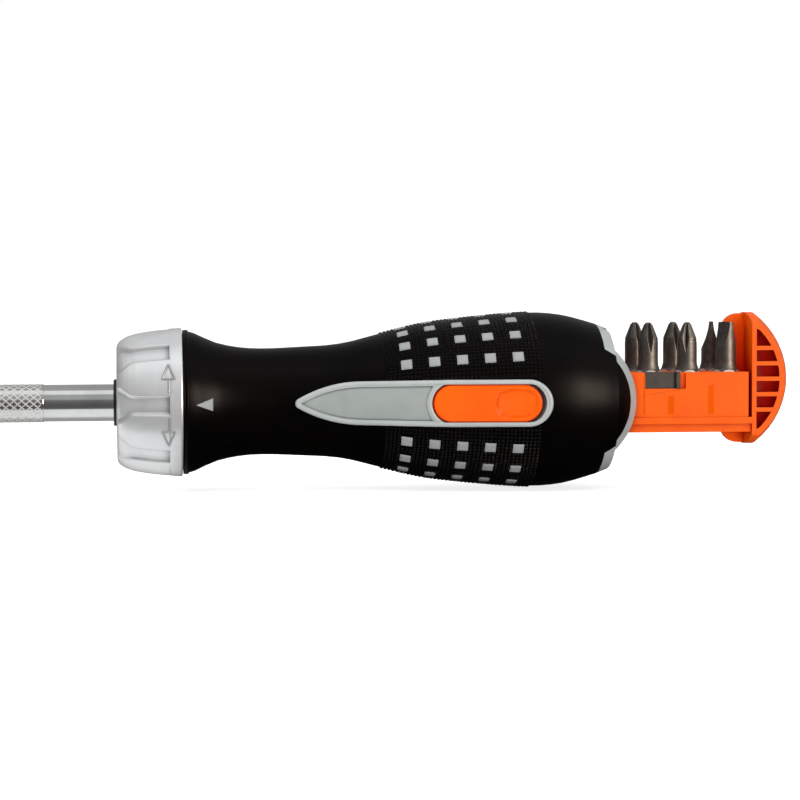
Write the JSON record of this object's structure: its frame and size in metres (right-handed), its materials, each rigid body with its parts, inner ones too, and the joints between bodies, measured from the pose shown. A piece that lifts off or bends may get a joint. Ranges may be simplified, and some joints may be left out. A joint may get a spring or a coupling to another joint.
{
  "type": "ratcheting screwdriver",
  "caption": "Ratcheting screwdriver with a knurled blade, a direction collar, a soft grip and a domed bit magazine that slides out of the handle.",
  "frame": {"origin": "centre of the hexagon socket's mouth at the blade's nose", "axes": "+X along the tool from the socket to the end cap, +Z along the standing bits, the panel and release button face -Y"},
  "size_m": [0.2619, 0.0471, 0.0468],
  "materials": {
    "steel": "polished, knurled finger zone",
    "magnet": "nickel plated",
    "collar": "satin anodised",
    "mechanism": "ground",
    "casting": "die cast",
    "bronze": "plain",
    "spring": "drawn wire",
    "black_plastic": "fine grain",
    "light_plastic": "satin",
    "soft_skin": "soft touch, fine pattern on the grip",
    "orange_plastic": "satin gloss",
    "bit_steel": "dark phosphated",
    "latch_steel": "dull"
  },
  "bodies": {
    "handle": {"nose_bush": "black_plastic", "collar_snap_ring": "spring", "ratchet_housing": "casting", "housing_cover": "casting", "cover_screws": "mechanism", "pawl_pins": "mechanism", "pawl_spring_forward": "spring", "pawl_spring_reverse": "spring", "detent_ball": "mechanism", "detent_spring": "spring", "housing_pin": "mechanism", "handle_core": "light_plastic", "grip_overmold": "soft_skin", "button_pin": "mechanism", "button_spring": "spring", "eject_spring": "spring", "spring_guide": "mechanism"},
    "blade": {"blade_shaft": "steel", "socket_magnet": "magnet", "ratchet_gear": "mechanism", "thrust_washer": "bronze", "shaft_clip": "spring"},
    "selector": {"selector_collar": "collar"},
    "pawl_a": {"pawl_forward": "mechanism"},
    "pawl_b": {"pawl_reverse": "mechanism"},
    "button": {"release_button": "orange_plastic"},
    "magazine": {"magazine_tray": "orange_plastic", "end_cap": "orange_plastic", "latch_spring": "latch_steel"},
    "bit_phillips_front": {"bit_phillips_front": "bit_steel"},
    "bit_phillips_back": {"bit_phillips_back": "bit_steel"},
    "bit_pozi_front": {"bit_pozi_front": "bit_steel"},
    "bit_pozi_back": {"bit_pozi_back": "bit_steel"},
    "bit_slotted_front": {"bit_slotted_front": "bit_steel"},
    "bit_slotted_back": {"bit_slotted_back": "bit_steel"}
  },
  "joints": [
    {"name": "blade_spin", "type": "hinge", "parent": "handle", "child": "blade", "pos_m": [0, 0, 0], "axis": [1, 0, 0], "continuous": true},
    {"name": "selector_turn", "type": "hinge", "parent": "handle", "child": "selector", "pos_m": [0.09, 0, 0], "axis": [1, 0, 0], "range_deg": [-22, 22]},
    {"name": "pawl_forward_lift", "type": "hinge", "parent": "handle", "child": "pawl_a", "pos_m": [0.0903, -0.006, 0.009], "axis": [1, 0, 0], "range_deg": [0, 11], "stiffness_Nm_per_rad": 0.02, "springref_deg": -5.73, "deforming": ["pawl_spring_forward"]},
    {"name": "pawl_reverse_lift", "type": "hinge", "parent": "handle", "child": "pawl_b", "pos_m": [0.0903, -0.006, -0.009], "axis": [-1, 0, 0], "range_deg": [0, 11], "stiffness_Nm_per_rad": 0.02, "springref_deg": -5.73, "deforming": ["pawl_spring_reverse"]},
    {"name": "button_press", "type": "hinge", "parent": "handle", "child": "button", "pos_m": [0.1687, -0.0171, 0], "axis": [0, 0, 1], "range_deg": [0, 4.5], "stiffness_Nm_per_rad": 0.3, "springref_deg": -2.86, "deforming": ["button_spring"]},
    {"name": "magazine_slide", "type": "slide", "parent": "handle", "child": "magazine", "axis": [0.9907, 0, 0.1364], "range_m": [-0.03886, 0], "stiffness_N_per_m": 30, "springref_m": 0.03, "deforming": ["eject_spring"]},
    {"name": "lift_phillips_front", "type": "slide", "parent": "magazine", "child": "bit_phillips_front", "axis": [0, 0, 1], "range_m": [0, 0.013]},
    {"name": "lift_phillips_back", "type": "slide", "parent": "magazine", "child": "bit_phillips_back", "axis": [0, 0, 1], "range_m": [0, 0.013]},
    {"name": "lift_pozi_front", "type": "slide", "parent": "magazine", "child": "bit_pozi_front", "axis": [0, 0, 1], "range_m": [0, 0.013]},
    {"name": "lift_pozi_back", "type": "slide", "parent": "magazine", "child": "bit_pozi_back", "axis": [0, 0, 1], "range_m": [0, 0.013]},
    {"name": "lift_slotted_front", "type": "slide", "parent": "magazine", "child": "bit_slotted_front", "axis": [0, 0, 1], "range_m": [0, 0.013]},
    {"name": "lift_slotted_back", "type": "slide", "parent": "magazine", "child": "bit_slotted_back", "axis": [0, 0, 1], "range_m": [0, 0.013]}
  ]
}
